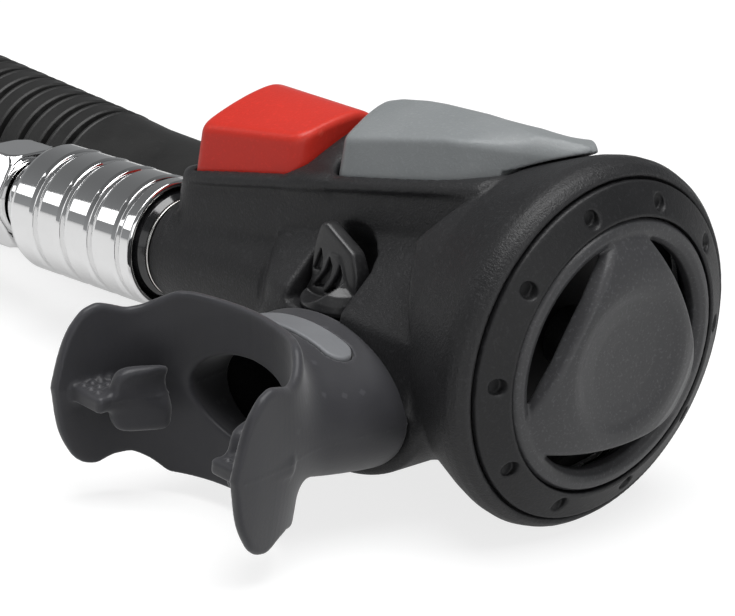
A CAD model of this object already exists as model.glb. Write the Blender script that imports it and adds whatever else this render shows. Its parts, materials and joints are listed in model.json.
"""The looks of the power inflator with its combined second stage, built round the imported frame.

Moulded pieces are modelled as smooth distance fields in millimetres (design frame: x along the head axis,
z up, -y towards the diver) and meshed with surface nets. Turned pieces are lathed with filleted profiles.
"""

import json
import math

import bmesh
import bpy
import numpy as np
from mathutils import Matrix, Vector


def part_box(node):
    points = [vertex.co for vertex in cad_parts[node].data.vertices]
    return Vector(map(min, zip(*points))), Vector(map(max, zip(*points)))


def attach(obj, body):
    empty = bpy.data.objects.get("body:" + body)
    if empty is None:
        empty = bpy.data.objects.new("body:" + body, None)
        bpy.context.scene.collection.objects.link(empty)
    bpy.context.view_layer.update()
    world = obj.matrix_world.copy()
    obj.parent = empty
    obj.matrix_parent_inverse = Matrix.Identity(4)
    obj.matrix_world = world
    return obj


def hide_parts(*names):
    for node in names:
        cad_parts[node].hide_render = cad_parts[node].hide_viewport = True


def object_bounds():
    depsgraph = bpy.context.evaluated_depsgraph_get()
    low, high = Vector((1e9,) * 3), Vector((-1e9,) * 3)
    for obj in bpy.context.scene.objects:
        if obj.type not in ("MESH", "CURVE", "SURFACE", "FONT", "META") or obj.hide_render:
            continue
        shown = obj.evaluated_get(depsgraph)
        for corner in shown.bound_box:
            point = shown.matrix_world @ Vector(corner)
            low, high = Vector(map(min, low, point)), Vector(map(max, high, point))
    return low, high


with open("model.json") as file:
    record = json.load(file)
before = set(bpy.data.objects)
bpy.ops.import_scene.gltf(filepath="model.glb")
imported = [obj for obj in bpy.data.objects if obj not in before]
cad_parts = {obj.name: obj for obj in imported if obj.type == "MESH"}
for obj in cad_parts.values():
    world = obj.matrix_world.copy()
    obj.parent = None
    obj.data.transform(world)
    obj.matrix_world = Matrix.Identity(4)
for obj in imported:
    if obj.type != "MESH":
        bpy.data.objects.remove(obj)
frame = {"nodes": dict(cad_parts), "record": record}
cad_box = [list(v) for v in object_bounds()]
nodes = frame["nodes"]

# design frame -> world, from the cover ring, whose axis is the head axis and whose face is at x = 1 mm
lo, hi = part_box("cover_retaining_ring")
SH = np.array([hi.x * 1000 - 1.0, (lo.y + hi.y) * 500, (lo.z + hi.z) * 500])
V3 = np.array


def W(p):
    return (np.asarray(p, float) + SH) / 1000.0


def parts_slot():
    return {s["node"]: s["material_slot"] for s in frame["record"]["subparts"]}


SLOTS = parts_slot()
BODY = {n: b for b, ns in frame["record"]["behaviour"]["bodies"].items() for n in ns}

# ============================================================================
# materials
# ============================================================================


class Mat:
    """Small node builder."""

    def __init__(self, name):
        self.m = bpy.data.materials.new(name)
        self.m.use_nodes = True
        self.nt = self.m.node_tree
        self.b = self.nt.nodes["Principled BSDF"]
        self.tc = self.nt.nodes.new("ShaderNodeTexCoord")
        self.vec = self.tc.outputs["Object"]
        self.height = None

    def n(self, kind, **kw):
        nd = self.nt.nodes.new(kind)
        for k, v in kw.items():
            setattr(nd, k, v)
        return nd

    def link(self, a, b):
        self.nt.links.new(a, b)

    def noise(self, scale, detail=3.0, rough=0.55, vec=None):
        nd = self.n("ShaderNodeTexNoise")
        nd.inputs["Scale"].default_value = scale
        nd.inputs["Detail"].default_value = detail
        nd.inputs["Roughness"].default_value = rough
        self.link(vec or self.vec, nd.inputs["Vector"])
        return nd.outputs["Fac"]

    def voronoi(self, scale, vec=None):
        nd = self.n("ShaderNodeTexVoronoi")
        nd.inputs["Scale"].default_value = scale
        self.link(vec or self.vec, nd.inputs["Vector"])
        return nd.outputs["Distance"]

    def ramp(self, fac, lo, hi, a=0.0, b=1.0):
        nd = self.n("ShaderNodeMapRange")
        nd.inputs["From Min"].default_value = lo
        nd.inputs["From Max"].default_value = hi
        nd.inputs["To Min"].default_value = a
        nd.inputs["To Max"].default_value = b
        self.link(fac, nd.inputs["Value"])
        return nd.outputs["Result"]

    def math(self, op, a, b=None, clamp=False):
        nd = self.n("ShaderNodeMath", operation=op)
        nd.use_clamp = clamp
        for i, v in enumerate((a, b)):
            if v is None:
                continue
            if isinstance(v, (int, float)):
                nd.inputs[i].default_value = v
            else:
                self.link(v, nd.inputs[i])
        return nd.outputs[0]

    def mix(self, fac, a, b):
        nd = self.n("ShaderNodeMix", data_type="RGBA")
        if isinstance(fac, (int, float)):
            nd.inputs[0].default_value = fac
        else:
            self.link(fac, nd.inputs[0])
        for i, v in ((6, a), (7, b)):
            if isinstance(v, tuple):
                nd.inputs[i].default_value = (*v, 1.0)
            else:
                self.link(v, nd.inputs[i])
        return nd.outputs[2]

    def edge(self, lo=0.505, hi=0.56):
        g = self.n("ShaderNodeNewGeometry")
        return self.ramp(g.outputs["Pointiness"], lo, hi)

    def bump(self, height, dist, strength=1.0):
        nd = self.n("ShaderNodeBump")
        nd.inputs["Strength"].default_value = strength
        nd.inputs["Distance"].default_value = dist
        self.link(height, nd.inputs["Height"])
        if self.height is not None:
            self.link(self.height, nd.inputs["Normal"])
        self.height = nd.outputs["Normal"]
        self.link(self.height, self.b.inputs["Normal"])

    def set(self, **kw):
        for k, v in kw.items():
            s = self.b.inputs[k.replace("_", " ")]
            if isinstance(v, (int, float)):
                s.default_value = v
            elif isinstance(v, tuple):
                s.default_value = (*v, 1.0) if len(v) == 3 else v
            else:
                self.link(v, s)
        return self


def moulded(name, base, light, rough, grain=2300.0, grain_h=0.00003, spread=0.10, spec=0.5, wear=0.25, coat=0.0, worn=None):
    """Moulded plastic: fine spark-eroded grain, cloudy colour and gloss, edges rubbed slightly lighter."""
    m = Mat(name)
    cloud = m.noise(55.0, 4.0)
    fine = m.noise(grain, 2.0, 0.6)
    speck = m.noise(grain * 0.55, 2.0)
    col = m.mix(m.ramp(cloud, 0.35, 0.68), base, light)
    col = m.mix(m.math("MULTIPLY", m.edge(), wear), col, worn or tuple(min(1.0, c * 1.9 + 0.012) for c in light))
    dark = base[0] < 0.05
    col = m.mix(m.math("MULTIPLY", m.ramp(speck, 0.56, 0.68), 0.55 if dark else 0.2), col, tuple(min(1, c * (2.4 if dark else 1.5) + 0.006) for c in base))
    r = m.math("ADD", m.ramp(cloud, 0.3, 0.7, rough - spread / 2, rough + spread / 2), m.ramp(fine, 0.3, 0.7, -0.05, 0.05))
    m.set(Base_Color=col, Roughness=r, Specular_IOR_Level=spec)
    if coat:
        m.set(Coat_Weight=coat, Coat_Roughness=0.12)
    m.bump(m.math("ADD", fine, m.math("MULTIPLY", speck, 0.8)), grain_h)
    return m.m


def silicone(name, base, light, rough=0.42, sheen=0.25):
    m = Mat(name)
    cloud = m.noise(80.0, 3.0)
    fine = m.noise(1700.0, 2.0)
    dust = m.noise(900.0, 4.0, 0.75)
    col = m.mix(m.ramp(cloud, 0.3, 0.7), base, light)
    col = m.mix(m.math("MULTIPLY", m.edge(0.508, 0.57), 0.35), col, tuple(c * 2.0 + 0.02 for c in light))
    col = m.mix(m.math("MULTIPLY", m.ramp(dust, 0.70, 0.80), 0.35), col, tuple(c * 2.2 + 0.02 for c in light))
    m.set(Base_Color=col, Roughness=m.ramp(cloud, 0.25, 0.75, rough - 0.05, rough + 0.08), Specular_IOR_Level=0.36,
          Sheen_Weight=sheen, Sheen_Roughness=0.5)
    m.bump(m.math("ADD", fine, m.math("MULTIPLY", cloud, 3.0)), 0.00002)
    return m.m


def metal(name, base, rough, brushed=0.0, wear=0.0, axis=None, scale=700.0):
    """Plated or turned metal: faint lathe lines round the axis, slight waviness and a few handling marks."""
    m = Mat(name)
    cloud = m.noise(120.0, 3.0)
    if axis is not None:
        mp = m.n("ShaderNodeMapping")
        mp.inputs["Scale"].default_value = axis
        m.link(m.vec, mp.inputs["Vector"])
        lines = m.noise(scale, 2.0, 0.5, mp.outputs["Vector"])
    else:
        lines = m.noise(scale, 2.0)
    scr = m.noise(420.0, 5.0, 0.8)
    r = m.math("ADD", m.ramp(cloud, 0.3, 0.7, rough * 0.8, rough * 1.35), m.ramp(scr, 0.66, 0.8, 0.0, 0.10))
    r = m.math("ADD", r, m.ramp(lines, 0.3, 0.7, -brushed, brushed), clamp=True)
    col = m.mix(m.ramp(cloud, 0.3, 0.7), tuple(c * 0.96 for c in base), base)
    m.set(Base_Color=col, Metallic=1.0, Roughness=r)
    m.bump(lines, 0.0000012 + 0.00001 * brushed)
    return m.m


def rubber(name, base, light, rough=0.55):
    m = Mat(name)
    cloud = m.noise(90.0, 4.0)
    fine = m.noise(1500.0, 3.0, 0.65)
    dust = m.noise(500.0, 5.0, 0.75)
    col = m.mix(m.ramp(cloud, 0.3, 0.7), base, light)
    col = m.mix(m.math("MULTIPLY", m.ramp(dust, 0.58, 0.75), 0.35), col, tuple(c * 2.2 + 0.008 for c in light))
    col = m.mix(m.math("MULTIPLY", m.edge(0.51, 0.58), 0.3), col, tuple(c * 2.0 + 0.01 for c in light))
    m.set(Base_Color=col, Roughness=m.ramp(cloud, 0.3, 0.7, rough - 0.08, rough + 0.08), Specular_IOR_Level=0.5)
    m.bump(m.math("ADD", fine, m.math("MULTIPLY", cloud, 2.0)), 0.00004)
    return m.m


MAT = {
    "housing": moulded("housing_nylon", (0.0125, 0.0125, 0.0134), (0.0185, 0.0185, 0.0196), 0.46, 3000, 0.00011, 0.08, 0.40, 0.30),
    "ring": moulded("ring_nylon", (0.0070, 0.0070, 0.0078), (0.0105, 0.0105, 0.0115), 0.50, 2600, 0.00006, 0.08, 0.40, 0.30),
    "cover": moulded("purge_cover_plastic", (0.0400, 0.0400, 0.0425), (0.0480, 0.0480, 0.0505), 0.40, 3600, 0.000010, 0.08, 0.5, 0.20),
    "knob": moulded("knob_plastic", (0.0120, 0.0120, 0.0128), (0.0180, 0.0180, 0.0190), 0.36, 3000, 0.000015, 0.08, 0.6, 0.5),
    "red": moulded("red_plastic", (0.60, 0.032, 0.020), (0.66, 0.036, 0.022), 0.36, 2600, 0.000030, 0.10, 0.32, 0.30, 0.0, (0.80, 0.13, 0.09)),
    "grey": moulded("grey_plastic", (0.225, 0.240, 0.245), (0.255, 0.268, 0.273), 0.42, 2600, 0.000040, 0.10, 0.35, 0.35, 0.0, (0.38, 0.40, 0.41)),
    "silicone": silicone("charcoal_silicone", (0.026, 0.026, 0.030), (0.033, 0.033, 0.038)),
    "inlay": silicone("grey_silicone", (0.165, 0.17, 0.18), (0.185, 0.19, 0.20), 0.5, 0.1),
    "clear": silicone("membrane_silicone", (0.020, 0.020, 0.021), (0.027, 0.027, 0.028), 0.45, 0.05),
    "hose": rubber("hose_rubber", (0.010, 0.010, 0.0098), (0.015, 0.015, 0.0146), 0.52),
    "lp_hose": rubber("supply_hose_rubber", (0.014, 0.014, 0.014), (0.020, 0.020, 0.020), 0.46),
    "seal": rubber("seal_rubber", (0.012, 0.012, 0.012), (0.018, 0.018, 0.018), 0.55),
    "gloss": moulded("polished_black", (0.008, 0.008, 0.009), (0.011, 0.011, 0.012), 0.10, 3000, 0.000003, 0.05, 0.6, 0.15, 0.6),
    "chrome": metal("chrome_plate", (0.90, 0.90, 0.90), 0.045, 0.010, axis=(8.0, 0.5, 0.5)),
    "washer": metal("polished_steel", (0.80, 0.79, 0.76), 0.14, 0.03),
    "steel": metal("stainless_steel", (0.62, 0.62, 0.62), 0.22, 0.05),
    "brass": metal("turned_brass", (0.78, 0.57, 0.26), 0.20, 0.05, axis=(0.5, 8.0, 0.5)),
    "nylon": moulded("natural_nylon", (0.60, 0.58, 0.53), (0.66, 0.64, 0.59), 0.50, 2000, 0.00002),
}
SLOT_MAT = {"black_plastic": "housing", "cover_plastic": "cover", "red_plastic": "red", "grey_plastic": "grey", "silicone": "silicone",
            "silicone_grey": "inlay", "clear_silicone": "clear", "hose_rubber": "lp_hose", "gloss_black": "gloss", "chrome": "chrome",
            "brass": "brass", "steel": "steel", "nylon": "nylon", "seal_rubber": "seal"}
for name, ob in nodes.items():
    ob.data.materials.clear()
    ob.data.materials.append(MAT["seal" if name.startswith("diaphragm_") else SLOT_MAT[SLOTS[name]]])


def stands_for(ob, mat, *cad):
    ob.data.materials.clear()
    ob.data.materials.append(MAT[mat])
    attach(ob, BODY[cad[0]])
    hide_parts(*cad)
    return ob


# ============================================================================
# distance fields
# ============================================================================


def smin(a, b, k):
    h = np.maximum(k - np.abs(a - b), 0) / k
    return np.minimum(a, b) - h * h * k * 0.25


def smax(a, b, k):
    h = np.maximum(k - np.abs(a - b), 0) / k
    return np.maximum(a, b) + h * h * k * 0.25


def cut(a, b, k=0.5):
    return smax(a, -b, k)


def sd_cyl(P, p0, p1, r, r2=None, k=0.3):
    """Capped cylinder or cone with a slightly eased rim."""
    p0, p1 = V3(p0, np.float32), V3(p1, np.float32)
    ax = p1 - p0
    L = float(np.linalg.norm(ax))
    ax = ax / L
    q = P - p0
    t = q @ ax
    rad = np.sqrt(np.maximum((q * q).sum(1) - t * t, 0))
    if r2 is None:
        dr = rad - r
    else:
        s = (r2 - r) / L
        dr = (rad - (r + s * t)) / math.sqrt(1 + s * s)
    dt = np.abs(t - L / 2) - L / 2
    return smax(dr, dt, k)


def sd_box(P, lo, hi, r=0.4):
    lo, hi = V3(lo, np.float32), V3(hi, np.float32)
    q = np.abs(P - (lo + hi) / 2) - (hi - lo) / 2 + r
    return np.sqrt((np.maximum(q, 0) ** 2).sum(1)) + np.minimum(q.max(1), 0) - r


def sd_oval(P, cx, cz, a, b, y0, y1, k=0.4):
    """Oval cylinder along y between y0 (towards the diver) and y1."""
    qx, qz = P[:, 0] - cx, P[:, 2] - cz
    k1 = np.sqrt((qx / a) ** 2 + (qz / b) ** 2)
    k2 = np.sqrt((qx / a ** 2) ** 2 + (qz / b ** 2) ** 2) + 1e-9
    d = k1 * (k1 - 1) / k2
    d = np.maximum(d, (k1 - 1) * min(a, b) * 0.6)
    return smax(d, np.maximum(y0 - P[:, 1], P[:, 1] - y1), k)


def planes_of(pts):
    """Outward planes of the convex hull of a set of points."""
    bm = bmesh.new()
    vs = [bm.verts.new(p) for p in pts]
    bmesh.ops.convex_hull(bm, input=vs)
    for v in [v for v in bm.verts if not v.link_faces]:
        bm.verts.remove(v)
    bmesh.ops.recalc_face_normals(bm, faces=bm.faces)
    bmesh.ops.dissolve_limit(bm, angle_limit=math.radians(0.5), verts=bm.verts, edges=bm.edges)
    out = {}
    for f in bm.faces:
        n = f.normal
        out[tuple(round(c, 3) for c in (*n, n.dot(f.verts[0].co)))] = 1
    bm.free()
    A = np.array(list(out), np.float32)
    return A[:, :3].T.copy(), A[:, 3].copy()


def sd_planes(P, pl, k):
    """Convex solid with edges rounded by k."""
    D = P @ pl[0] - pl[1]
    m = D.max(1)
    return m + k * np.log(np.exp((D - m[:, None]) / k).sum(1))


def sd_poly(T, R, pts):
    """Signed distance to a closed polygon in a plane."""
    pts = np.asarray(pts, np.float32)
    n = len(pts)
    d = np.full(T.shape, 1e9, np.float32)
    s = np.ones(T.shape, np.float32)
    for i in range(n):
        a, b = pts[i], pts[i - 1]
        ex, ey = b[0] - a[0], b[1] - a[1]
        wx, wy = T - a[0], R - a[1]
        h = np.clip((wx * ex + wy * ey) / max(ex * ex + ey * ey, 1e-9), 0, 1)
        d = np.minimum(d, (wx - ex * h) ** 2 + (wy - ey * h) ** 2)
        c1, c2, c3 = R >= a[1], R < b[1], ex * wy > ey * wx
        s = np.where((c1 & c2 & c3) | (~c1 & ~c2 & ~c3), -s, s)
    return s * np.sqrt(d)


def circle(x, yc, zc, r, n=28):
    return [(x, yc + r * math.cos(math.tau * i / n), zc + r * math.sin(math.tau * i / n)) for i in range(n)]


# ============================================================================
# surface nets
# ============================================================================
CORNERS = np.array([(i, j, k) for i in (0, 1) for j in (0, 1) for k in (0, 1)])
EDGES = [(a, b) for a in range(8) for b in range(a + 1, 8) if np.abs(CORNERS[a] - CORNERS[b]).sum() == 1]


def evaluate(f, P, chunk=150000):
    out = np.empty(len(P), np.float32)
    for i in range(0, len(P), chunk):
        out[i:i + chunk] = f(P[i:i + chunk])
    return out


def mesh_field(name, f, lo, hi, h, steps=2):
    """Meshes f < 0 (mm) into an object in the row frame."""
    lo = np.array(lo, float) - 2.5 * h
    B = 8
    nb = np.ceil((np.array(hi, float) + 2.5 * h - lo) / (h * B)).astype(int)
    n = nb * B
    bi = np.stack(np.meshgrid(*[np.arange(k) for k in nb], indexing="ij"), -1).reshape(-1, 3)
    cen = (lo + (bi * B + (B - 1) / 2) * h).astype(np.float32)
    d = evaluate(f, cen)
    near = np.abs(d) < h * B * 0.5 * 1.7321 * 1.35 + h
    V = np.repeat(np.repeat(np.repeat(d.reshape(nb), B, 0), B, 1), B, 2).astype(np.float32)
    off = np.stack(np.meshgrid(*[np.arange(B)] * 3, indexing="ij"), -1).reshape(-1, 3)
    act = bi[near]
    idx = (act[:, None, :] * B + off[None]).reshape(-1, 3)
    V[idx[:, 0], idx[:, 1], idx[:, 2]] = evaluate(f, (lo + idx * h).astype(np.float32))
    ins = V < 0
    c = np.zeros(tuple(n - 1), np.uint8)
    for i, j, k in CORNERS:
        c += ins[i:n[0] - 1 + i, j:n[1] - 1 + j, k:n[2] - 1 + k]
    cells = np.argwhere((c > 0) & (c < 8))
    vals = np.stack([V[cells[:, 0] + i, cells[:, 1] + j, cells[:, 2] + k] for i, j, k in CORNERS], 1)
    pos = np.zeros((len(cells), 3))
    cnt = np.zeros(len(cells))
    for a, b in EDGES:
        va, vb = vals[:, a], vals[:, b]
        x = (va < 0) != (vb < 0)
        t = np.where(x, va / np.where(x, va - vb, 1), 0)
        pos += np.where(x[:, None], CORNERS[a] + t[:, None] * (CORNERS[b] - CORNERS[a]), 0)
        cnt += x
    pos = lo + (cells + pos / cnt[:, None]) * h
    ids = np.full(tuple(n - 1), -1, np.int64)
    ids[cells[:, 0], cells[:, 1], cells[:, 2]] = np.arange(len(cells))
    quads = []
    for ax in range(3):
        u, w = [(1, 2), (2, 0), (0, 1)][ax]
        sl0 = [slice(1, n[i] - 1) for i in range(3)]
        sl1 = list(sl0)
        sl0[ax] = slice(0, n[ax] - 1)
        sl1[ax] = slice(1, n[ax])
        A, Bv = ins[tuple(sl0)], ins[tuple(sl1)]
        E = np.argwhere(A != Bv)
        flip = A[E[:, 0], E[:, 1], E[:, 2]]
        for i in range(3):
            if i != ax:
                E[:, i] += 1
        eu, ew = np.zeros(3, int), np.zeros(3, int)
        eu[u] = 1
        ew[w] = 1
        q = [E - eu - ew, E - ew, E, E - eu]
        q = np.stack([ids[k[:, 0], k[:, 1], k[:, 2]] for k in q], 1)
        q[~flip] = q[~flip][:, ::-1]
        quads.append(q)
    Q = np.concatenate(quads)
    Q = Q[(Q >= 0).all(1)]
    # pull the points onto the surface, along its gradient
    P = pos.astype(np.float32)
    e = 0.06
    for _ in range(steps):
        v = evaluate(f, P)
        g = np.stack([evaluate(f, P + V3([e if i == a else 0 for i in range(3)], np.float32)) - v for a in range(3)], 1) / e
        g2 = np.maximum((g * g).sum(1), 0.15)
        P = P - np.clip(v / g2, -0.5 * h, 0.5 * h)[:, None] * g
    me = bpy.data.meshes.new(name)
    me.vertices.add(len(P))
    me.vertices.foreach_set("co", W(P).astype(np.float32).ravel())
    me.loops.add(len(Q) * 4)
    me.loops.foreach_set("vertex_index", Q.astype(np.int32).ravel())
    me.polygons.add(len(Q))
    me.polygons.foreach_set("loop_start", np.arange(0, len(Q) * 4, 4, dtype=np.int32))
    me.update(calc_edges=True)
    me.validate()
    # keep only the large bodies, so that no stray shell stays
    bm = bmesh.new()
    bm.from_mesh(me)
    seen, groups = set(), []
    for v in bm.verts:
        if v.index in seen:
            continue
        stack, grp = [v], []
        seen.add(v.index)
        while stack:
            w_ = stack.pop()
            grp.append(w_)
            for ed in w_.link_edges:
                o = ed.other_vert(w_)
                if o.index not in seen:
                    seen.add(o.index)
                    stack.append(o)
        groups.append(grp)
    big = max(len(g) for g in groups)
    junk = [v for g in groups if len(g) < 0.004 * big for v in g]
    if junk:
        bmesh.ops.delete(bm, geom=junk, context="VERTS")
    bm.to_mesh(me)
    bm.free()
    me.shade_smooth()
    ob = bpy.data.objects.new(name, me)
    bpy.context.scene.collection.objects.link(ob)
    print(f"FIELD {name}: {len(Q)} quads, {len(groups)} bodies", flush=True)
    return ob


# ============================================================================
# turned pieces
# ============================================================================


def fillet(prof, r, n=4, closed=True):
    """Rounds the corners of a profile. r may be a number or a list, one per corner."""
    out = []
    N = len(prof)
    for i, p in enumerate(prof):
        p = V3(p, float)
        if not closed and i in (0, N - 1):
            out.append(tuple(p))
            continue
        a, b = V3(prof[i - 1], float), V3(prof[(i + 1) % N], float)
        ri = r[i] if isinstance(r, (list, tuple)) else r
        u, v = a - p, b - p
        lu, lv = np.linalg.norm(u), np.linalg.norm(v)
        if lu < 1e-6 or lv < 1e-6 or ri <= 0:
            out.append(tuple(p))
            continue
        u, v = u / lu, v / lv
        ang = math.acos(max(-1, min(1, float(u @ v))))
        if ang > math.radians(172):
            out.append(tuple(p))
            continue
        t = min(ri / math.tan(ang / 2), lu * 0.45, lv * 0.45)
        for k in range(n + 1):
            s = k / n
            out.append(tuple((1 - s) ** 2 * (p + u * t) + 2 * s * (1 - s) * p + s * s * (p + v * t)))
    return out


def turned(name, point, direction, prof, seg=144, closed=True, weighted=True):
    """Lathe of a (t, r) profile round an axis; a point with r = 0 becomes a pole."""
    d = Vector(direction).normalized()
    a = d.orthogonal().normalized()
    b = d.cross(a)
    D, A, Bx = (V3(v, float) for v in (d, a, b))
    o = V3(point, float)
    bm = bmesh.new()
    rings = []
    for t, r in prof:
        if r < 1e-6:
            rings.append([bm.verts.new(W(o + D * t))])
        else:
            rings.append([bm.verts.new(W(o + D * t + (A * math.cos(math.tau * i / seg) + Bx * math.sin(math.tau * i / seg)) * r))
                          for i in range(seg)])
    pairs = list(zip(rings, rings[1:])) + ([(rings[-1], rings[0])] if closed else [])
    for p, q in pairs:
        if len(p) == 1 and len(q) == 1:
            continue
        for i in range(seg):
            j = (i + 1) % seg
            if len(p) == 1:
                bm.faces.new((p[0], q[i], q[j]))
            elif len(q) == 1:
                bm.faces.new((p[i], q[0], p[j]))
            else:
                bm.faces.new((p[i], q[i], q[j], p[j]))
    bmesh.ops.recalc_face_normals(bm, faces=bm.faces)
    me = bpy.data.meshes.new(name)
    bm.to_mesh(me)
    bm.free()
    me.shade_smooth()
    ob = bpy.data.objects.new(name, me)
    bpy.context.scene.collection.objects.link(ob)
    if weighted:
        m = ob.modifiers.new("normals", "WEIGHTED_NORMAL")
        m.keep_sharp = True
    return ob


# ============================================================================
# housing
# ============================================================================
def deck_z(x):
    return 12.4 + 0.2412 * (x + 84.0)


def wall_y(x):
    return -24.0 + 0.145 * (x + 84.0)


def rear_y(x):
    return 22.0 - 0.12 * (x + 84.0)


CV = V3((1, 0, 0.0928), float)
CV = CV / np.linalg.norm(CV)
CP = V3((-93.0, -16.0, -7.2), float)
CU = np.cross(V3((0, 1, 0), float), CV) * -1


def on_coup(t, dy=0.0, du=0.0):
    return CP + CV * t + V3((0, dy, 0), float) + CU * du


def coup_circle(t, r, n=28):
    return [tuple(on_coup(t, r * math.cos(math.tau * i / n), r * math.sin(math.tau * i / n))) for i in range(n)]


MPX, MPZ, PORTY = -40.0, -14.0, -28.6
upper, lower = [], []
for x, inset in ((-89.8, 2.6), (-86.5, 0.2), (-21.0, 0.0)):
    upper += [(x, wall_y(x) + inset + 1.2, deck_z(x) - 0.2), (x, wall_y(x) + inset + 0.6, deck_z(x) - 2.0), (x, wall_y(x) + inset + 0.6, -12.0),
              (x, rear_y(x) - inset - 1.5, deck_z(x)), (x, rear_y(x) - inset, deck_z(x) - 1.5), (x, rear_y(x) - inset, -14.0)]
    if x < -80:
        lower += [(x, wall_y(x) + inset + 0.6, -4.0), (x, rear_y(x) - inset, -8.0)]
        lower += circle(x, 12.0, -14.9, 14.8 - inset * 0.3)
        lower += circle(x, -16.0, -7.8, 9.0, 20)
lower += [p for p in circle(-24.0, 0, 0, 27.4, 36) if p[2] < -7] + [(-24.0, -19.0, -3.0), (-24.0, 19.0, 0.0)]
PL_BODY, PL_LOWER = planes_of(upper), planes_of(lower)
PL_RAMP = planes_of([(-63.5, -20.6, 7.4), (-26, -15.3, 15.8), (-26, -10, 15.8), (-63.5, -10, 7.4), (-58, -28.2, 0.6), (-19, -30.3, 1.2), (-64.8, -23.5, -12),
                     (-58, -28.2, -12), (-19, -29.6, -12), (-64.5, -10, -12), (-19, -10, -12)])
PL_SOCK = planes_of(circle(-106.0, 14.2, -15.0, 16.2) + [(-106.0, 8.0, 1.6), (-106.0, 20.0, 1.6)] + circle(-92.0, 14.4, -13.8, 17.0)
                    + [(-92.0, 2.0, 8.4), (-92.0, 20.0, 8.4), (-84.0, 1.0, 10.4), (-84.0, 19.0, 10.4)] + circle(-80.0, 12.6, -14.8, 15.0))
PL_LIP = planes_of([(x, wall_y(x) + a + (1.6 if x < -86 else 0), deck_z(x) + b) for x in (-87.8, -84.5, -21.0) for a, b in
                    ((-0.45, -1.3), (-0.45, -2.0), (0.3, -0.3), (1.4, 0.05), (0.9, -2.8), (5.0, 0.05), (5.0, -2.8))])
BELL = [(-2.3, 0), (-2.3, 31.25), (-2.9, 32.4), (-4.2, 33.4), (-6.0, 33.9), (-8.0, 33.75), (-11.0, 32.9), (-14, 31.8), (-20, 29.6), (-26, 28.4),
        (-31, 28.0), (-36, 26.6), (-41, 23.2), (-43, 19.5), (-44, 12), (-44, 0)]
HEAD = [(4, 0), (4, 32.4), (-2.3, 31.75), (-3.6, 31.2), (-3.6, 29.9), (-13.2, 29.9), (-13.2, 26.4), (-17.6, 25.4), (-17.6, 0)]
REAR = []
for x, r in ((-16.5, 25.0), (-33.0, 24.2), (-36.6, 20.5)):
    REAR += [(a, max(b, -14.8), min(c_, 15.0)) for a, b, c_ in circle(x, 0, 0, r, 40)]
PL_REAR = planes_of(REAR)
BX = -25.0
INX, INY, DEX, DEY = -74.0, 4.0, -49.0, 9.0
EXX, EXY, EXZ = -47.0, -3.0, -26.6
KX, KY, KZ = -45.2, -22.4, -1.5
HPX, HPZ = -17.0, 27.9

RED = [(-85.4, wall_y(-85.4) + 2.1), (-62.9, wall_y(-62.9) + 2.1), (-61.7, wall_y(-61.7) + 3.5), (-61.7, 12.0), (-63.4, rear_y(-63.4) - 3.0),
       (-84.0, rear_y(-84) - 4.0), (-86.4, rear_y(-86.4) - 7.0), (-86.4, wall_y(-86.4) + 3.4)]
GREY = [(-52.6, wall_y(-52.6) + 2.1), (-31.0, wall_y(-31.0) + 2.1), (-27.0, -13.0), (-12.0, -0.6), (-11.0, 1.8), (-11.6, 4.6), (-15.0, 8.0),
        (-30, rear_y(-30) - 2.0), (-52.0, rear_y(-52.0) - 2.2), (-55.0, rear_y(-55) - 4.5), (-57.5, 6.0), (-57.5, -4), (-55.0, wall_y(-55.0) + 4.6)]


def grown(outline, d):
    cx = sum(p[0] for p in outline) / len(outline)
    cy = sum(p[1] for p in outline) / len(outline)
    out = []
    for x, y in outline:
        v = Vector((x - cx, y - cy))
        f = 1 + d / max(v.length, 1e-6)
        out.append((cx + v.x * f, cy + v.y * f))
    return out


def deck_planes(outline, lo, hi):
    return planes_of([(x, y, deck_z(x) + h) for x, y in outline for h in (lo, hi)])


PL_REDP = deck_planes(grown(RED, 0.35), -5.6, 20.0)
PL_GREYP = deck_planes([p for p in grown(GREY, 0.35) if p[0] < -20.4] + [(-20.1, -7.6), (-20.1, 10.6)], -5.0, 12.0)
# saddle between the two buttons, rising with their crowns
PL_SADDLE = planes_of([(-62.4, y, deck_z(-62.4) + h) for y, h in ((-19.2, -4), (-20.6, 0.1), (-15, 3.4), (-9, 6.6), (-4, 8.3), (1, 8.3), (8, 6), (17, 0), (17, -4))]
                      + [(x, y, deck_z(x) + h) for x, y, h in ((-53.4, -18.0, -4), (-53.4, -19.4, 0.1), (-55.4, -14.6, 2.6), (-57.4, -9, 4.9), (-57.8, -4, 6.4), (-57.8, 1, 6.4),
                                                               (-57.8, 7, 5.0), (-57.8, 15, 0), (-57.8, 15, -4))])
PL_NOSE = planes_of([(-21.0, -14.0, 29.8), (-21.0, 12.2, 29.8), (-13.5, -11.0, 32.6), (-13.5, 10.6, 32.6), (-5.9, -5.0, 33.2), (-5.9, 4.5, 33.2),
                     (-21, -14.4, 40), (-21, 13, 40), (-5.9, -8.0, 40), (-5.9, 7.5, 40)])


def prism_planes(outline, draft=0.05):
    """Side planes of a convex outline, leaning in slightly towards the top."""
    out = []
    n = len(outline)
    area = sum(outline[i][0] * outline[(i + 1) % n][1] - outline[(i + 1) % n][0] * outline[i][1] for i in range(n))
    sg = 1 if area > 0 else -1
    for i in range(n):
        a, b = V3(outline[i], float), V3(outline[(i + 1) % n], float)
        e = b - a
        nrm = V3((e[1], -e[0])) * sg / np.linalg.norm(e)
        out.append((nrm[0], nrm[1], draft, nrm @ a))
    return np.array(out, np.float32)


def sides(P, pr, z0, k):
    D = P[:, :1] * pr[:, 0] + P[:, 1:2] * pr[:, 1] + (P[:, 2:3] - z0[:, None]) * pr[:, 2] - pr[:, 3]
    m = D.max(1)
    return m + k * np.log(np.exp((D - m[:, None]) / k).sum(1))


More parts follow.
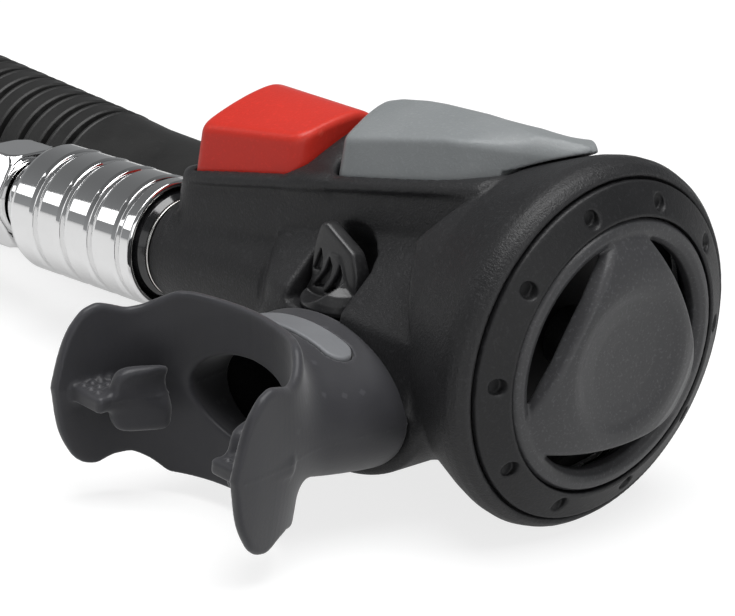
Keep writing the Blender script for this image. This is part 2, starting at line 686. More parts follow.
BX_, BR_ = np.array([b[0] for b in BELL[::-1]], np.float32), np.array([b[1] for b in BELL[::-1]], np.float32)


def over_bell(x, y, z, gap):
    """Approximate distance above the bell's skin, grown by a gap."""
    return np.sqrt(y * y + z * z) - np.interp(x, BX_, BR_) - 0.15 - gap


PR_GREY = prism_planes(GREY, 0.07)
PR_NOSE = prism_planes(grown(GREY, 0.45), 0.0)


def housing_field(P):
    x, y, z = P[:, 0], P[:, 1], P[:, 2]
    R = np.sqrt(y * y + z * z)
    bell = sd_poly(x, R, BELL) - 0.15
    body = smin(sd_planes(P, PL_BODY, 0.45) - 0.3, sd_planes(P, PL_LOWER, 0.6) - 0.35, 0.8)
    back = np.interp(z, [-40, 0, 17, 26, 40], [-19, -19, -27.2, -21.5, -19]).astype(np.float32)
    bell = cut(bell, np.maximum((x - back) * 0.85, y + 15.4), 0.5)
    body = smin(body, sd_planes(P, PL_LIP, 0.5) - 0.45, 0.7)
    body = smin(body, sd_planes(P, PL_SADDLE, 0.7) - 0.5, 1.6)
    sock = sd_planes(P, PL_SOCK, 1.3) - 1.4
    sock = smax(sock, -106.0 - x, 0.5)
    boss = sd_poly((P - CP.astype(np.float32)) @ CV.astype(np.float32), np.sqrt(np.maximum(((P - CP.astype(np.float32)) ** 2).sum(1)
                   - ((P - CP.astype(np.float32)) @ CV.astype(np.float32)) ** 2, 0)),
                   [(0, 0), (0, 9.6), (0.5, 10.0), (3, 10.2), (8, 10.1), (14, 9.8), (30, 9.4), (36, 7.0), (36, 0)])
    ramp = sd_planes(P, PL_RAMP, 0.4) - 0.25
    coll = sd_oval(P, MPX, MPZ, 23.4, 15.0, PORTY, -4.0, 1.6)
    s = smin(body, sock, 3.0)
    s = smin(s, boss, 1.8)
    s = smin(s, ramp, 0.7)
    s = smin(s, bell, 1.0)
    s = smin(s, coll, 1.8)
    tube = sd_oval(P, MPX, MPZ, 18.4, 11.4, -38.5, -20.0, 0.6)
    s = np.minimum(s, tube)
    barb = sd_cyl(P, (-132, 13, -16.9), (-100, 13, -16.9), 10.2)
    barb = np.minimum(barb, np.minimum(sd_cyl(P, (-129, 13, -16.9), (-127.4, 13, -16.9), 11.3), sd_cyl(P, (-118, 13, -16.9), (-116.4, 13, -16.9), 11.3)))
    s = np.minimum(s, barb)
    s = cut(s, sd_cyl(P, (EXX, EXY, EXZ - 14), (EXX, EXY, EXZ), 14.6), 0.5)
    # hollows
    s = cut(s, sd_poly(x, R, HEAD), 0.45)
    s = cut(s, sd_planes(P, PL_REAR, 0.3), 0.6)
    s = cut(s, sd_oval(P, MPX, MPZ, 16.6, 9.7, -60.0, -1.2, 0.6), 0.6)
    s = cut(s, sd_cyl(P, (-140, 13, -16.9), (-43.5, 13, -16.9), 8.4), 0.6)
    s = cut(s, sd_cyl(P, (BX, -22.4, 0), (BX, -12, 0), 5.95), 0.3)
    s = cut(s, sd_cyl(P, on_coup(-3), on_coup(12.5), 6.3), 0.4)
    rim = np.where(z > deck_z(x) - 1.2, 0.9, 0.25)
    s = cut(s, sd_planes(P, PL_REDP, 0.4) - 0.1, rim)
    s = cut(s, sd_planes(P, PL_GREYP, 0.4) - 0.1, rim)
    nose = sides(P, PR_NOSE, np.full(x.shape, 30.0, np.float32), 0.4)
    s = cut(s, np.maximum(nose, np.maximum(0.02 - over_bell(x, y, z, -0.05), -20.6 - x)), 0.3)
    s = cut(s, sd_cyl(P, (INX, INY, -14), (INX, INY, deck_z(INX) - 4), 4.0), 0.3)
    s = cut(s, sd_cyl(P, (INX, -15.5, -3.4), (INX, INY - 3.2, -3.4), 1.5), 0.3)
    s = cut(s, sd_cyl(P, (DEX, DEY, 0), (DEX, DEY, deck_z(DEX) - 3), 3.4), 0.3)
    s = cut(s, sd_cyl(P, (DEX, DEY, -1.2), (DEX, DEY, 7.0), 6.6), 0.3)
    s = cut(s, sd_cyl(P, (DEX, DEY, -8), (DEX, DEY, 0), 5.2), 0.3)
    s = cut(s, sd_cyl(P, (DEX, DEY, -20), (DEX, DEY, -5.2), 8.0), 0.3)
    s = cut(s, sd_cyl(P, (DEX, DEY - 1.0, 2.9), (-33.0, DEY - 3.0, 2.9), 3.8), 0.3)
    for k in range(6):
        a = math.tau * k / 6
        c = (EXX + 5.1 * math.cos(a), EXY + 5.1 * math.sin(a))
        s = cut(s, sd_cyl(P, (*c, -31), (*c, -21.0), 2.0), 0.3)
    s = cut(s, sd_cyl(P, (EXX, EXY, -31), (EXX, EXY, -20.5), 1.2), 0.2)
    # round seat of the selector with a soft hollow in the wall behind it, and its bore
    rk = np.sqrt((x - KX) ** 2 + (y - KY) ** 2)
    seat = sd_poly(z - KZ, rk, [(-0.2, 0), (-0.2, 7.2), (2.8, 7.2), (3.6, 6.6), (3.6, 0)])
    s = cut(s, seat, 0.4)
    s = cut(s, sd_box(P, (KX - 7.2, -42.0, KZ - 0.2), (KX + 7.4, KY + 0.5, KZ + 12.0), 0.8), 0.8)
    front = smax(sd_poly(z - KZ, rk, [(2, 0), (2, 6.7), (11.0, 6.6), (15.4, 5.4), (16.4, 3.6), (16.4, 0)]), y - (KY + 2.5), 0.4)
    s = cut(s, front, 0.9)
    swept = smax(sd_poly(z - KZ, rk, [(2, 0), (2, 7.1), (6.0, 7.1), (10.4, 6.8), (14.0, 5.2), (15.6, 3.4), (15.6, 0)]), KX - 3.6 - x, 0.3)
    s = cut(s, swept, 0.5)
    s = cut(s, sd_cyl(P, (KX, KY, -8), (KX, KY, 2), 2.5), 0.3)
    return s


housing = mesh_field("housing_shell", housing_field, (-132.5, -39, -34.6), (-2, 37, 34.6), 0.58)
stands_for(housing, "housing", "main_housing")

# ============================================================================
# head: ring and purge cover
# ============================================================================
RING = [(0.95, 25.45), (0.95, 25.9), (-1.65, 30.5), (-2.0, 30.95), (-3.2, 30.95), (-3.2, 29.45), (-9.2, 29.45), (-9.2, 28.25),
        (-1.55, 28.25), (-1.55, 25.45)]
HOLES = [(27.85 * math.sin(math.radians(-18 + 36 * k)), 27.85 * math.cos(math.radians(-18 + 36 * k))) for k in range(10)]


def ring_field(P):
    x, y, z = P[:, 0], P[:, 1], P[:, 2]
    s = sd_poly(x, np.sqrt(y * y + z * z), RING) - 0.12
    for hy, hz in HOLES:
        s = cut(s, sd_cyl(P, (-1.2, hy, hz), (4, hy, hz), 1.5), 0.35)
    return s


ring = mesh_field("cover_ring", ring_field, (-9.4, -31.2, -31.2), (1.2, 31.2, 31.2), 0.34)
stands_for(ring, "ring", "cover_retaining_ring")

VENT = [math.radians(180 + 120 * k) for k in range(3)]
DOME_PROFILE = [(3.3, 0), (3.34, 4), (3.6, 8), (4.2, 11.4), (4.75, 13.0), (4.9, 14.2), (4.75, 15.4), (4.3, 17.2), (3.3, 19.4), (2.1, 21.3), (1.0, 22.7),
                (-2.9, 23.0), (-0.5, 21.6), (1.2, 17.0), (1.4, 13.5), (1.3, 6.0), (-10.8, 5.4), (-10.8, 0)]
RIM = [(1.15, 22.2), (1.45, 23.2), (1.2, 24.3), (0.4, 24.85), (-1.9, 24.85), (-1.9, 27.8), (-3.0, 27.8), (-3.0, 22.4), (-1.2, 21.3), (0.2, 21.3)]


def cover_field(P):
    x, y, z = P[:, 0], P[:, 1], P[:, 2]
    R = np.sqrt(y * y + z * z)
    dome = sd_poly(x, R, DOME_PROFILE) - 0.1
    rim = sd_poly(x, R, RIM) - 0.15
    # the dome is cut back by three chords; outside each chord lies a crescent vent
    ch = np.full(x.shape, -1e3, np.float32)
    for a in VENT:
        sy, cz = math.sin(a), math.cos(a)
        side = y * cz - z * sy
        ch = np.maximum(ch, y * sy + z * cz - 16.5 + 0.012 * side * side * 0.5 + 0.18 * np.maximum(x - 1.0, 0))
    dome = smax(dome, ch, 0.9)
    s = smin(dome, rim, 0.8)
    # hole through the web of each crescent
    for a in VENT:
        sy, cz = math.sin(a), math.cos(a)
        dist = y * sy + z * cz
        lens = np.maximum(17.0 - dist, R - 20.9)
        s = cut(s, np.maximum(lens, np.abs(x) - 6), 0.4)
    return s


cover = mesh_field("purge_dome", cover_field, (-10.9, -27.9, -27.9), (5.1, 27.9, 27.9), 0.36)
stands_for(cover, "cover", "purge_cover")

# rolling membrane behind the cover, with a soft convolution
roll = [(-10.7, 26.6), (-10.7, 29.5), (-12.9, 29.5), (-12.9, 26.8), (-12.4, 26.2), (-13.4, 24.8), (-13.7, 23.6), (-13.7, 21.6), (-13.2, 20.2), (-12.4, 19.0),
        (-12.3, 17.0), (-11.6, 17.0), (-11.6, 19.2), (-12.4, 20.6), (-12.9, 21.8), (-12.9, 23.4), (-12.5, 24.6), (-11.6, 25.8)]
stands_for(turned("membrane_roll", (0, 0, 0), (1, 0, 0), fillet(roll, 0.3, 3), 128), "seal", "diaphragm_membrane")

# ============================================================================
# buttons
# ============================================================================


PR_RED = prism_planes(RED, 0.05)
def red_top(x, y):
    zf = 20.3 + 0.186 * (x + 85.4)
    zc = 26.0 + 0.056 * (x + 84.0)
    yf = wall_y(x) + 1.9
    u = np.clip((y - yf) / (-5.0 - yf), 0, 1)
    return np.where(y < -5.0, zf + (zc - zf) * (1 - (1 - u) ** 1.5), zc - 0.07 * np.minimum(y + 5, 8.0) ** 2 - 0.9 * np.maximum(y - 3.0, 0))


def red_field(P):
    x, y, z = P[:, 0], P[:, 1], P[:, 2]
    top = (z - red_top(x, y)) / np.where(y < 0, 1.12, 1.5)
    sd = sides(P, PR_RED, deck_z(x), 0.5) - 0.2
    bot = (deck_z(x) - 1.5 - z) / 1.03
    s = smax(sd, top, 1.5)
    s = smax(s, bot, 0.8)
    s = cut(s, sd_cyl(P, (INX, INY, 0), (INX, INY, deck_z(INX) + 1.2), 3.7), 0.3)
    s = cut(s, sd_cyl(P, (INX, INY, 0), (INX, INY, deck_z(INX) + 3.0), 2.3), 0.3)
    return s


red = mesh_field("inflate_cap", red_field, (-88.5, -23, 9), (-59, 20, 30), 0.40)
stands_for(red, "red", "inflate_button")


def grey_top(x, y):
    zf = np.interp(x, [-58, -54, -42.3, -31.7, -25.7, -20, -15.5, -9.5], [25.4, 26.4, 29.6, 32.2, 32.9, 32.8, 32.8, 33.6])
    zc = np.interp(x, [-60, -57.5, -53.5, -48, -44.2, -34, -23, -15, -9.5], [29.4, 30.2, 31.7, 33.0, 33.6, 34.7, 35.3, 34.9, 33.9])
    yf = np.interp(x, [-55, -52.6, -31, -27, -10.2], [-15, -17.5, -14.4, -13, 1.0])
    u = np.clip((y - yf) / np.maximum(-3.5 - yf, 3.0), 0, 1)
    w = np.clip((x + 30) / 14.0, 0, 1)
    back = zc - (0.05 - 0.035 * w) * np.minimum(y + 3.5, 8.0) ** 2 - (0.7 - 0.5 * w) * np.maximum(y - 4.5, 0)
    return np.where((y < -3.5) | (u < 1), zf + (zc - zf) * (1 - (1 - u) ** 1.5), back)


def grey_field(P):
    x, y, z = P[:, 0], P[:, 1], P[:, 2]
    top = (z - grey_top(x, y)) / np.where(y < 0, 1.12, 1.3)
    sd = sides(P, PR_GREY, deck_z(x), 0.5) - 0.2
    bot = (deck_z(x) - 1.2 - z) / 1.03
    s = smax(smax(sd, top, 0.9), bot, 0.6)
    s = smax(s, np.where(x > -21.8, -over_bell(x, y, z, 0.35), -9.0), 0.3)
    s = cut(s, sd_cyl(P, (DEX, DEY, 0), (DEX, DEY, deck_z(DEX) + 2.0), 3.2), 0.3)
    return s


grey = mesh_field("deflate_cap", grey_field, (-59, -20, 17), (-6.8, 20, 36.4), 0.42)
stands_for(grey, "grey", "deflate_button")

# ============================================================================
# selector knob
# ============================================================================
PL_FIN = planes_of([(KX + x, KY + y * (1.0 if z < 9 else 0.86), KZ + z) for y in (-2.0, 2.0) for x, z in
                    ((-5.7, 1.6), (-6.05, 4.0), (-5.95, 10.0), (-4.8, 14.3), (-3.7, 15.0), (4.0, 11.3), (5.6, 8.0), (6.0, 4.6), (5.7, 1.6))])
SLOTS3 = [[(-3.9, 9.9), (-3.3, 8.0), (-3.4, 6.1), (-5.3, 5.8), (-4.8, 7.2)],
          [(-1.3, 9.1), (-0.5, 7.8), (-0.7, 5.9), (-2.4, 3.3), (-4.7, 2.7), (-3.3, 4.6), (-2.0, 6.4)],
          [(1.5, 8.4), (2.2, 6.9), (1.6, 4.9), (0.2, 3.2), (-1.5, 2.4), (-0.1, 4.4), (1.0, 6.5)]]


def knob_field(P):
    q = P - V3((KX, KY, KZ), np.float32)
    rad = np.sqrt(q[:, 0] ** 2 + q[:, 1] ** 2)
    base = sd_poly(q[:, 2], rad, [(0.3, 0), (0.3, 6.6), (0.9, 6.8), (2.2, 6.5), (3.7, 5.6), (4.9, 4.1), (7.1, 3.1), (9.8, 1.9), (9.8, 0)]) - 0.12
    # finger scoops leave the fin flat on both sides
    scoop = np.sqrt((q[:, 0] + 3.5) ** 2 + (q[:, 2] - 8.0) ** 2) - 6.8
    base = cut(base, smax(scoop, 2.0 - np.abs(q[:, 1]), 0.3), 0.35)
    fin = sd_planes(P, PL_FIN, 0.28) - 0.1
    s = smin(base, fin, 0.5)
    # three grip slots in each face of the fin
    for slot in SLOTS3:
        s = cut(s, smax(sd_poly(q[:, 0], q[:, 2], slot) - 0.1, 0.75 - np.abs(q[:, 1]), 0.2), 0.3)
    s = cut(s, sd_cyl(P, (KX, KY, KZ - 1), (KX, KY, KZ + 3.4), 1.35), 0.2)
    return s


knob = mesh_field("selector_grip", knob_field, (KX - 8, KY - 8, KZ), (KX + 8, KY + 8, KZ + 15.6), 0.21)
stands_for(knob, "knob", "selector_knob")

# ============================================================================
# mouthpiece
# ============================================================================
# plan path of the lip shield, its mirror image on the other cheek
half = [(0, -46.4), (4.0, -46.6), (8.0, -47.3), (12.5, -49.0), (16.5, -51.6), (19.6, -55.2), (21.8, -60.0), (23.0, -66.0), (23.4, -70.0), (23.5, -73.2)]


def smooth_path(p, n=3):
    p = [V3(q, float) for q in p]
    for _ in range(n):
        out = [p[0]]
        for a, b in zip(p, p[1:]):
            out += [a * 0.75 + b * 0.25, a * 0.25 + b * 0.75]
        p = out + [p[-1]]
    return np.array(p)


HP = smooth_path(half, 2)
HS = np.r_[0, np.cumsum(np.linalg.norm(np.diff(HP, axis=0), axis=1))]
S_END = HS[-1]


def lip(s, table):
    return np.interp(s, [t[0] for t in table], [t[1] for t in table])


def smooth_table(t, n=3):
    xs = np.linspace(0, S_END + 3, 160)
    ys = np.interp(xs, [a for a, _ in t], [b for _, b in t])
    for _ in range(n):
        ys = np.convolve(np.pad(ys, 3, mode="edge"), np.ones(7) / 7, "valid")
    return list(zip(xs, ys))


TOP = smooth_table([(0, 18.3), (8, 18.2), (13, 18.3), (16.2, 18.0), (19.7, 16.2), (22.7, 14.8), (25.5, 14.3), (28.3, 15.2), (31, 15.9), (34, 14.8), (37, 11.6),
                    (38.8, 7.8), (39.8, 4), (40.6, 0), (42, -8), (44, -18)], 1)
BOT = smooth_table([(0, -16), (10, -16.2), (15.7, -16.3), (19.5, -14.2), (23, -12.9), (26.5, -13.4), (29.5, -14.8), (32.3, -14.2), (34.5, -12.7), (37, -9.5),
                    (38.6, -6.5), (39.6, -2.5), (40.3, 1), (42, 8), (44, 18)], 1)


def mouthpiece_field(P):
    x, y, z = P[:, 0] - MPX, P[:, 1], P[:, 2] - MPZ
    ax = np.abs(x)
    # the shield curls a little towards the diver along its upper and lower edges
    yy = y + 0.0055 * z * z - 0.6
    # distance to the plan path
    d2 = np.full(ax.shape, 1e9, np.float32)
    sp = np.zeros(ax.shape, np.float32)
    sg = np.ones(ax.shape, np.float32)
    for i in range(len(HP) - 1):
        a, b = HP[i], HP[i + 1]
        e = b - a
        L2 = float(e @ e)
        wx, wy = ax - a[0], yy - a[1]
        h = np.clip((wx * e[0] + wy * e[1]) / L2, 0, 1)
        dd = (wx - e[0] * h) ** 2 + (wy - e[1] * h) ** 2
        near = dd < d2
        d2 = np.where(near, dd, d2)
        sp = np.where(near, HS[i] + h * math.sqrt(L2), sp)
        sg = np.where(near, np.sign(e[1] * wx - e[0] * wy), sg)
    dist = np.sqrt(d2)
    top, bot = lip(sp, TOP), lip(sp, BOT)
    edge = np.maximum(z - top, bot - z) * 0.8
    sheet = smax(dist - 1.05, edge, 1.2)
    inner = sg * dist
    # oval tube, narrowing a little towards the shield and rising slightly
    t = np.clip((-28.9 - y) / 24.0, 0, 1.2)
    a = 21.2 - 1.6 * t + 1.2 * (2 * t - 1) ** 2 * 0
    b = 13.6 - 1.6 * t
    zc = 2.4 * t * t
    k1 = np.sqrt((x / a) ** 2 + ((z - zc) / b) ** 2)
    k2 = np.sqrt((x / a ** 2) ** 2 + ((z - zc) / b ** 2) ** 2) + 1e-6
    tube = np.maximum(k1 * (k1 - 1) / k2, (k1 - 1) * 8.0)
    tube = smax(tube, np.maximum(y + 28.9, -62.0 - y), 0.7)
    tube = smax(tube, inner - 1.0, 0.3)
    s = smin(sheet, tube, 5.0)
    s = smax(s, inner - 1.05, 0.5)
    # bite tabs: nubbed platform and a rounded lug behind the teeth
    q = np.stack([ax, y, z], 1)
    ang = math.radians(24)
    lx = (ax - 13.6) * math.cos(ang) + (y + 59.4) * math.sin(ang)
    ly = -(ax - 13.6) * math.sin(ang) + (y + 59.4) * math.cos(ang)
    lugq = np.stack([lx, ly, z], 1).astype(np.float32)
    lug = sd_box(lugq, (-1.5, -6.6, -6.0), (1.5, 4.9, 6.0), 1.45)
    lug = smax(lug, (np.sqrt((ly / 7.0) ** 2 + (z / 7.4) ** 2) - 1) * 5.5, 1.0)
    plat = sd_box(q.astype(np.float32), (14.4, -69.0, -1.5), (22.6, -57.0, 1.5), 0.9)
    tab = smin(lug, plat, 1.6)
    # nubs on both faces of the platform
    nx = np.abs(((ax - 17.0) / 1.9 + 0.5) % 1.0 - 0.5) * 1.9
    ny = np.abs(((y + 63.5) / 1.9 + 0.5) % 1.0 - 0.5) * 1.9
    nub = np.sqrt(nx ** 2 + ny ** 2 + (np.abs(z) - 1.5) ** 2) - 0.55
    nub = np.maximum(nub, np.maximum(np.abs(ax - 18.6) - 2.9, np.abs(y + 63.2) - 4.9))
    tab = smin(tab, nub, 0.35)
    s = smin(s, tab, 1.3)
    # bore to the lips, wider socket over the port tube
    u = np.clip((-38.0 - y) / 12.0, 0, 1)
    ba, bb, bz = 15.0 - 2.2 * u, 8.9 - 1.3 * u, zc * u
    k1 = np.sqrt((x / ba) ** 2 + ((z - bz) / bb) ** 2)
    bore = smax((k1 - 1) * bb * 0.85, y + 36.0, 0.4)
    s = cut(s, bore, 0.9)
    sock = sd_oval(P, MPX, MPZ, 18.95, 11.85, -38.9, -20.0, 0.5)
    s = cut(s, sock, 0.4)
    # bed of the inlay along the top of the tube, and the mould's parting line
    s = s - 0.09 * np.exp(-((z - 0.6) / 0.16) ** 2)
    s = cut(s, inlay_region(P) - 0.12, 0.15)
    return s


def tube_surface(P):
    """Signed distance to the outer surface of the mouthpiece tube."""
    x, y, z = P[:, 0] - MPX, P[:, 1], P[:, 2] - MPZ
    t = np.clip((-28.9 - y) / 24.0, 0, 1.2)
    a, b, zc = 21.2 - 1.6 * t, 13.6 - 1.6 * t, 2.4 * t * t
    k1 = np.sqrt((x / a) ** 2 + ((z - zc) / b) ** 2)
    k2 = np.sqrt((x / a ** 2) ** 2 + ((z - zc) / b ** 2) ** 2) + 1e-6
    return np.maximum(k1 * (k1 - 1) / k2, (k1 - 1) * 8.0)


def inlay_region(P):
    """A strip along the top of the tube, pointed at one end and round at the other."""
    x, y = P[:, 0], P[:, 1]
    w = 2.2 + 0.75 * np.clip((x + 57) / 10.0, 0, 1)
    yc = -37.2 + 0.04 * (x + 54)
    cap = np.sqrt(np.maximum(np.abs(x + 42.6) - (14.4 - w), 0) ** 2 + (y - yc) ** 2) - w
    d = tube_surface(P)
    return smax(smax(cap, np.abs(d + 0.35) - 0.85, 0.5), -P[:, 2] - 8.0, 0.2)


mouth = mesh_field("mouthpiece_moulding", mouthpiece_field, (-64.5, -73.8, -30.5), (-15.5, -28.7, 6.4), 0.40)
stands_for(mouth, "silicone", "mouthpiece")
inlay = mesh_field("mouthpiece_strip", lambda P: inlay_region(P) + 0.12, (-57.8, -41.5, -8), (-27.5, -33.0, 3), 0.25)
stands_for(inlay, "inlay", "mouthpiece_inlay")

# ============================================================================
# exhaust
# ============================================================================


def exhaust_field(P):
    q = P - V3((EXX, EXY, EXZ), np.float32)
    t, rad = -q[:, 2], np.sqrt(q[:, 0] ** 2 + q[:, 1] ** 2)
    s = sd_poly(t, rad, [(4.3, 0), (4.3, 12.4), (3.5, 13.5), (2.4, 14.0), (0.35, 14.0), (0.35, 13.0), (3.1, 13.0), (3.1, 0)]) - 0.08
    ang = np.arctan2(q[:, 1], q[:, 0])
    for k in range(6):
        a = math.tau * (k + 0.5) / 6
        d = V3((math.cos(a), math.sin(a), 0))
        p = V3((EXX, EXY, EXZ - 1.9)) + d * 11.5
        s = cut(s, sd_cyl(P, p, p + d * 4.5, 0.95), 0.2)
    return s


ex = mesh_field("exhaust_grille", exhaust_field, (EXX - 14.3, EXY - 14.3, EXZ - 4.6), (EXX + 14.3, EXY + 14.3, EXZ), 0.36)
stands_for(ex, "cover", "exhaust_cover")
flap = [(1.1, 0), (1.05, 6.0), (1.0, 9.2), (0.55, 10.3), (0.3, 10.4), (0.3, 0.9), (-6.2, 0.9), (-6.2, 1.6), (-7.0, 1.6), (-7.8, 0.8), (-7.8, 0)]
stands_for(turned("exhaust_flap", (EXX, EXY, EXZ), (0, 0, -1), fillet(flap, 0.2, 3, False), 96, False), "clear", "exhaust_valve")

# ============================================================================
# coupling and hoses
# ============================================================================
C0, CD = tuple(CP), tuple(CV)
rib = [(-2.6, 12.15), (-2.95, 12.6), (-5.4, 12.6), (-5.7, 11.5), (-6.5, 11.5)]
for k in range(4):
    t = -6.8 - 8.2 * k
    rib += [(t, 12.45), (t - 1.0, 12.68), (t - 6.0, 12.68), (t - 6.8, 12.45), (t - 7.0, 11.5)] + ([(t - 7.9, 11.5)] if k < 3 else [])
prof = [(-2.6, 11.5)] + rib[:-1] + [(-40.2, 9.9), (-40.2, 8.5), (-34.5, 8.5), (-34.5, 9.6), (-21.6, 9.6), (-21.6, 8.5), (-9.6, 8.5), (-8.7, 9.6), (-8.7, 11.5)]
stands_for(turned("sleeve_grip", C0, CD, fillet(prof, 0.28, 4), 192), "chrome", "coupling_sleeve")
stands_for(turned("collar_black", C0, CD, fillet([(-1.45, 6.15), (-1.45, 9.2), (-2.6, 10.2), (-4.4, 10.95), (-8.3, 11.2), (-8.3, 9.6), (-7.0, 9.6), (-7.0, 6.15)], 0.3, 4), 160),
           "gloss", "dust_collar")
stands_for(turned("washer_bright", C0, CD, fillet([(-0.35, 6.6), (-0.35, 9.75), (-1.15, 9.75), (-1.15, 6.6)], 0.15, 3), 128), "washer", "nipple_washer")
stands_for(turned("nipple_plug", C0, CD, fillet([
    (11.6, 1.9), (11.6, 5.9), (6.4, 5.9), (6.4, 5.0), (4.6, 5.0), (4.6, 5.9), (-1.5, 5.9), (-1.5, 5.6),
    (-9.6, 5.6), (-10.0, 5.2), (-11.6, 5.2), (-12.0, 5.6), (-15.6, 5.6), (-16.2, 5.0), (-16.2, 1.9)], 0.12, 3), 96), "chrome", "coupling_nipple")
stands_for(turned("core_tube", C0, CD, fillet([
    (-31.0, 8.1), (-31.0, 9.2), (-34.0, 9.2), (-34.0, 8.1), (-44.5, 8.1),
    (-45.0, 7.6), (-45.0, 3.0), (-20.5, 3.0), (-20.5, 4.2), (-16.8, 4.2), (-16.8, 6.05), (-12.6, 6.05), (-12.6, 8.1)], 0.15, 3), 128), "chrome", "coupling_core")
stands_for(turned("ferrule", C0, CD, fillet([
    (-57.0, 4.2), (-57.0, 8.0), (-58.0, 8.7), (-61.5, 8.7), (-61.9, 8.35), (-62.7, 8.35), (-63.1, 8.7), (-73.0, 8.7), (-73.4, 8.35), (-74.2, 8.35), (-74.6, 8.7), (-78.4, 8.7), (-79.0, 8.1), (-79.0, 6.9),
    (-59.0, 6.9), (-59.0, 4.2)], 0.25, 4), 144), "chrome", "hose_ferrule")
stands_for(turned("supply_hose", C0, CD, fillet([(-59.5, 4.25), (-59.5, 6.55), (-115.0, 6.55), (-115.0, 4.25)], 0.15, 3), 96), "lp_hose", "low_pressure_hose")


def hex_field(P):
    q = P - CP.astype(np.float32)
    t = q @ CV.astype(np.float32)
    yy, uu = q[:, 1], q @ CU.astype(np.float32)
    rad = np.sqrt(yy ** 2 + uu ** 2)
    s = np.abs(t + 51.0) - 5.4
    D = np.stack([yy * math.cos(a) + uu * math.sin(a) for a in [math.tau * (k + 0.5) / 6 for k in range(6)]], 1).max(1) - 9.5
    s = smax(s, D, 0.3)
    s = smax(s, (rad + np.abs(t + 51.0) * 0.55 - 10.6 - 2.4) * 0.87, 0.3)
    s = cut(s, sd_cyl(P, on_coup(-60), on_coup(-40), 4.6), 0.3)
    return s


hexo = mesh_field("hose_nut", hex_field, on_coup(-57) - 12, on_coup(-45) + 12, 0.3)
stands_for(hexo, "chrome", "coupling_hex")

# corrugated hose: flat-topped ribs with narrow undercut grooves, and a smooth moulded cuff
HX, HY, HZ = -106.0, 13.0, -16.9
po = [(-0.35, 12.2), (-0.35, 16.2), (-1.2, 16.75), (-6, 16.9), (-14, 16.5), (-24, 15.5), (-34, 15.15), (-41, 15.35)]
end = -113.0
t = -43.0
while t > end + 6.0:
    po += [(t, 15.35), (t - 0.35, 15.55), (t - 0.9, 15.5), (t - 1.3, 12.9), (t - 2.3, 12.7), (t - 2.7, 15.2), (t - 3.2, 15.5)]
    t -= 6.5
po += [(end, 15.5), (end, 11.0), (-28.6, 11.0), (-27.0, 12.2)]


def hose_field(P):
    q = P - V3((HX, HY, HZ), np.float32)
    return sd_poly(q[:, 0], np.sqrt(q[:, 1] ** 2 + q[:, 2] ** 2), po) - 0.12


stands_for(turned("inflation_hose", (HX, HY, HZ), (1, 0, 0), fillet(po, 0.3, 3), 176), "hose", "corrugated_hose")

# ============================================================================
# stage, light, camera
# ============================================================================
floor_z = min(cad_box[0][2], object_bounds()[0][2]) - 0.0004
bm = bmesh.new()
bmesh.ops.create_grid(bm, x_segments=2, y_segments=2, size=4.0)
me = bpy.data.meshes.new("studio_floor")
bm.to_mesh(me)
bm.free()
floor = bpy.data.objects.new("studio_floor", me)
floor.location = (0, 0, floor_z)
bpy.context.scene.collection.objects.link(floor)
fm = Mat("floor_paper")
fm.set(Base_Color=(0.42, 0.42, 0.42), Roughness=0.9, Specular_IOR_Level=0.0)
lp = fm.n("ShaderNodeLightPath")
em = fm.n("ShaderNodeEmission")
em.inputs["Strength"].default_value = 0.78
df = fm.n("ShaderNodeBsdfDiffuse")
df.inputs["Color"].default_value = (0.30, 0.30, 0.30, 1)
ad = fm.n("ShaderNodeAddShader")
fm.link(em.outputs[0], ad.inputs[0])
fm.link(df.outputs[0], ad.inputs[1])
mx = fm.n("ShaderNodeMixShader")
fm.link(fm.math("MAXIMUM", lp.outputs["Is Camera Ray"], fm.math("MULTIPLY", lp.outputs["Is Glossy Ray"], 0.5)), mx.inputs[0])
fm.link(fm.b.outputs[0], mx.inputs[1])
fm.link(ad.outputs[0], mx.inputs[2])
fm.link(mx.outputs[0], fm.nt.nodes["Material Output"].inputs["Surface"])
floor.data.materials.append(fm.m)

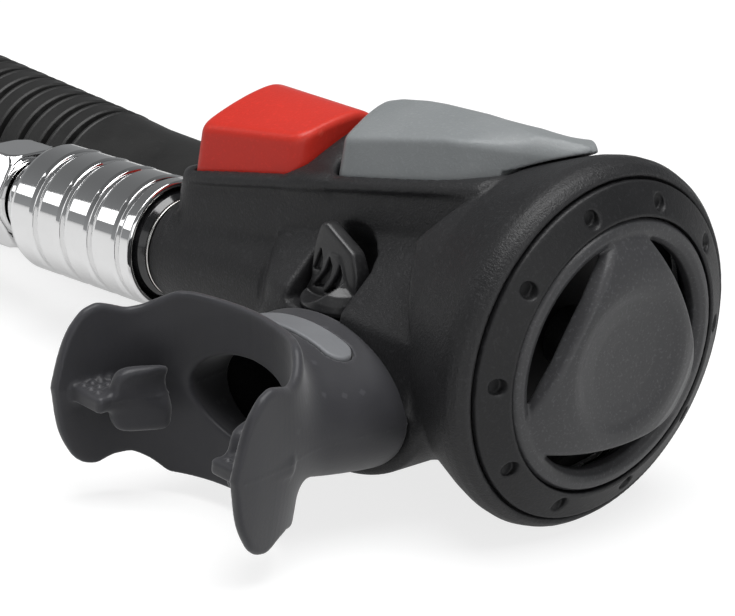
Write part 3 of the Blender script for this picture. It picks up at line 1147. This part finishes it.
world = bpy.data.worlds.new("studio")
bpy.context.scene.world = world
world.use_nodes = True
wn = world.node_tree
bg = wn.nodes["Background"]
tc = wn.nodes.new("ShaderNodeTexCoord")
sx = wn.nodes.new("ShaderNodeSeparateXYZ")
mr = wn.nodes.new("ShaderNodeMapRange")
mr.inputs["From Min"].default_value = -0.1
mr.inputs["From Max"].default_value = 0.75
mr.inputs["To Min"].default_value = 0.30
mr.inputs["To Max"].default_value = 0.12
wn.links.new(tc.outputs["Generated"], sx.inputs[0])
wn.links.new(sx.outputs["Z"], mr.inputs["Value"])
wn.links.new(mr.outputs["Result"], bg.inputs["Strength"])
bg.inputs["Color"].default_value = (0.96, 0.98, 1.0, 1)


def area(name, loc, target, sx_, sy_, power, color=(1, 1, 1)):
    l = bpy.data.lights.new(name, "AREA")
    l.shape = "RECTANGLE"
    l.size, l.size_y = sx_, sy_
    l.energy = power
    l.color = color
    o = bpy.data.objects.new(name, l)
    bpy.context.scene.collection.objects.link(o)
    o.location = loc
    o.rotation_euler = (Vector(target) - Vector(loc)).to_track_quat("-Z", "Y").to_euler()
    return o


area("key_top", (0.14, -0.06, 1.18), (0, 0, 0), 1.1, 0.9, 16.5)
area("fill_front", (0.55, -1.10, 0.30), (0, 0, 0), 0.9, 0.6, 0.9)
area("rim_right", (1.1, 0.25, 0.55), (0, 0, 0), 0.25, 0.9, 1.0)
area("fill_right", (1.25, -0.40, 0.30), (0, 0, 0), 0.8, 0.6, 1.9)
area("strip_left", (-0.75, -0.55, 0.55), (-0.05, 0, 0), 0.18, 0.8, 0.8)

# camera: the photograph's viewing angle
AZ, EL, ROLL = math.radians(44.4), math.radians(20.97), math.radians(5.19)
back = Vector((math.sin(AZ) * math.cos(EL), -math.cos(AZ) * math.cos(EL), math.sin(EL)))
right = Vector((math.cos(AZ), math.sin(AZ), 0))
upv = back.cross(right)
r2 = right * math.cos(ROLL) + upv * math.sin(ROLL)
u2 = -right * math.sin(ROLL) + upv * math.cos(ROLL)
cam = bpy.data.cameras.new("camera")
cam.sensor_width = 36.0
cam.lens = 166.5
cam.clip_start = 0.01
co = bpy.data.objects.new("camera", cam)
bpy.context.scene.collection.objects.link(co)
m3 = Matrix((r2, u2, back)).transposed()
co.matrix_world = Matrix.Translation(Vector(W((354.597, -423.148, 215.517)))) @ m3.to_4x4()
bpy.context.scene.camera = co
vs = bpy.context.scene.view_settings
vs.view_transform = "Standard"
vs.look = "None"
vs.exposure = 0.0
